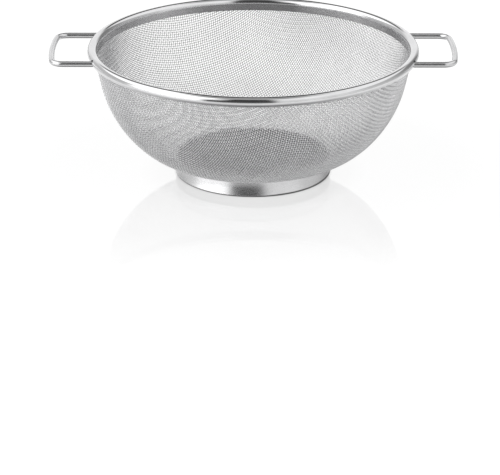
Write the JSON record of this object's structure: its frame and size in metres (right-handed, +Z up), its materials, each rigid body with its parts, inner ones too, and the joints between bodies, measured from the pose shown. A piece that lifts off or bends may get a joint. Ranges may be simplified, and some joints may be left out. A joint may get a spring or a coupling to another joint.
{
  "type": "mesh strainer",
  "caption": "Round kitchen strainer with a woven wire bowl, a rolled steel rim, wire loop handles on both sides and a low foot ring.",
  "frame": {"origin": "middle of the foot ring, on the table that it stands on", "axes": "+Z up along the bowl's axis, +X through the right-hand handle, +Y away from the front"},
  "size_m": [0.295, 0.24, 0.0965],
  "materials": {
    "wire_cloth": "bright drawn stainless wire, plain weave",
    "polished_band": "polished stainless sheet with fine rolling lines",
    "handle_wire": "polished stainless wire with fine drawing lines",
    "foot_band": "polished stainless sheet, lightly brushed round"
  },
  "bodies": {
    "root": {"mesh_bowl": "wire_cloth", "rim_band": "polished_band", "handle_left": "handle_wire", "handle_right": "handle_wire", "foot_ring": "foot_band"}
  },
  "joints": []
}
